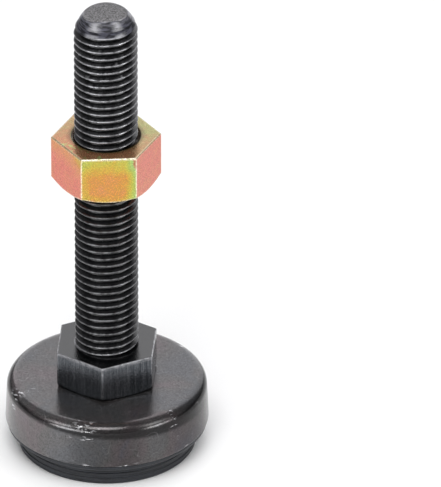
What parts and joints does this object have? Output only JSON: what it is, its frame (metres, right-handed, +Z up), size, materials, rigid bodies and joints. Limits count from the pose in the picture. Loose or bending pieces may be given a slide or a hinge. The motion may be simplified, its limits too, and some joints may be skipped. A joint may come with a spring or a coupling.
{
  "type": "furniture leveling foot",
  "caption": "Round rubber-soled steel cup foot with a swivelling black threaded stud, a hexagonal head and a yellow zinc lock nut.",
  "frame": {"origin": "centre of the rubber pad's underside, on the floor", "axes": "+Z up along the threaded stud, from the pad to the stud's tip; -Y is the side seen from the front"},
  "size_m": [0.0512, 0.0512, 0.1246],
  "materials": {
    "stud_black": "glossy black plated",
    "nut_yellow_zinc": "yellow passivated zinc, iridescent",
    "cup_steel": "polished dark plated sheet steel",
    "pad_rubber": "matte black rubber",
    "washer_zinc": "clear zinc plated"
  },
  "bodies": {
    "base": {"steel_cup": "cup_steel", "rubber_pad": "pad_rubber", "retaining_washer": "washer_zinc"},
    "stud": {"threaded_stud": "stud_black"},
    "nut": {"lock_nut": "nut_yellow_zinc"}
  },
  "joints": [
    {"name": "stud_spin", "type": "hinge", "parent": "base", "child": "stud", "pos_m": [0, 0, 0.0186], "axis": [0, 0, 1], "range_deg": [-5760, 8460]},
    {"name": "nut_travel", "type": "slide", "parent": "base", "child": "nut", "axis": [0, 0, 1], "range_m": [-0.04705, 0.03205]}
  ],
  "couplings": [
    {"joint": "nut_travel", "follows": "stud_spin", "m_per_rad": -0.00031831}
  ]
}
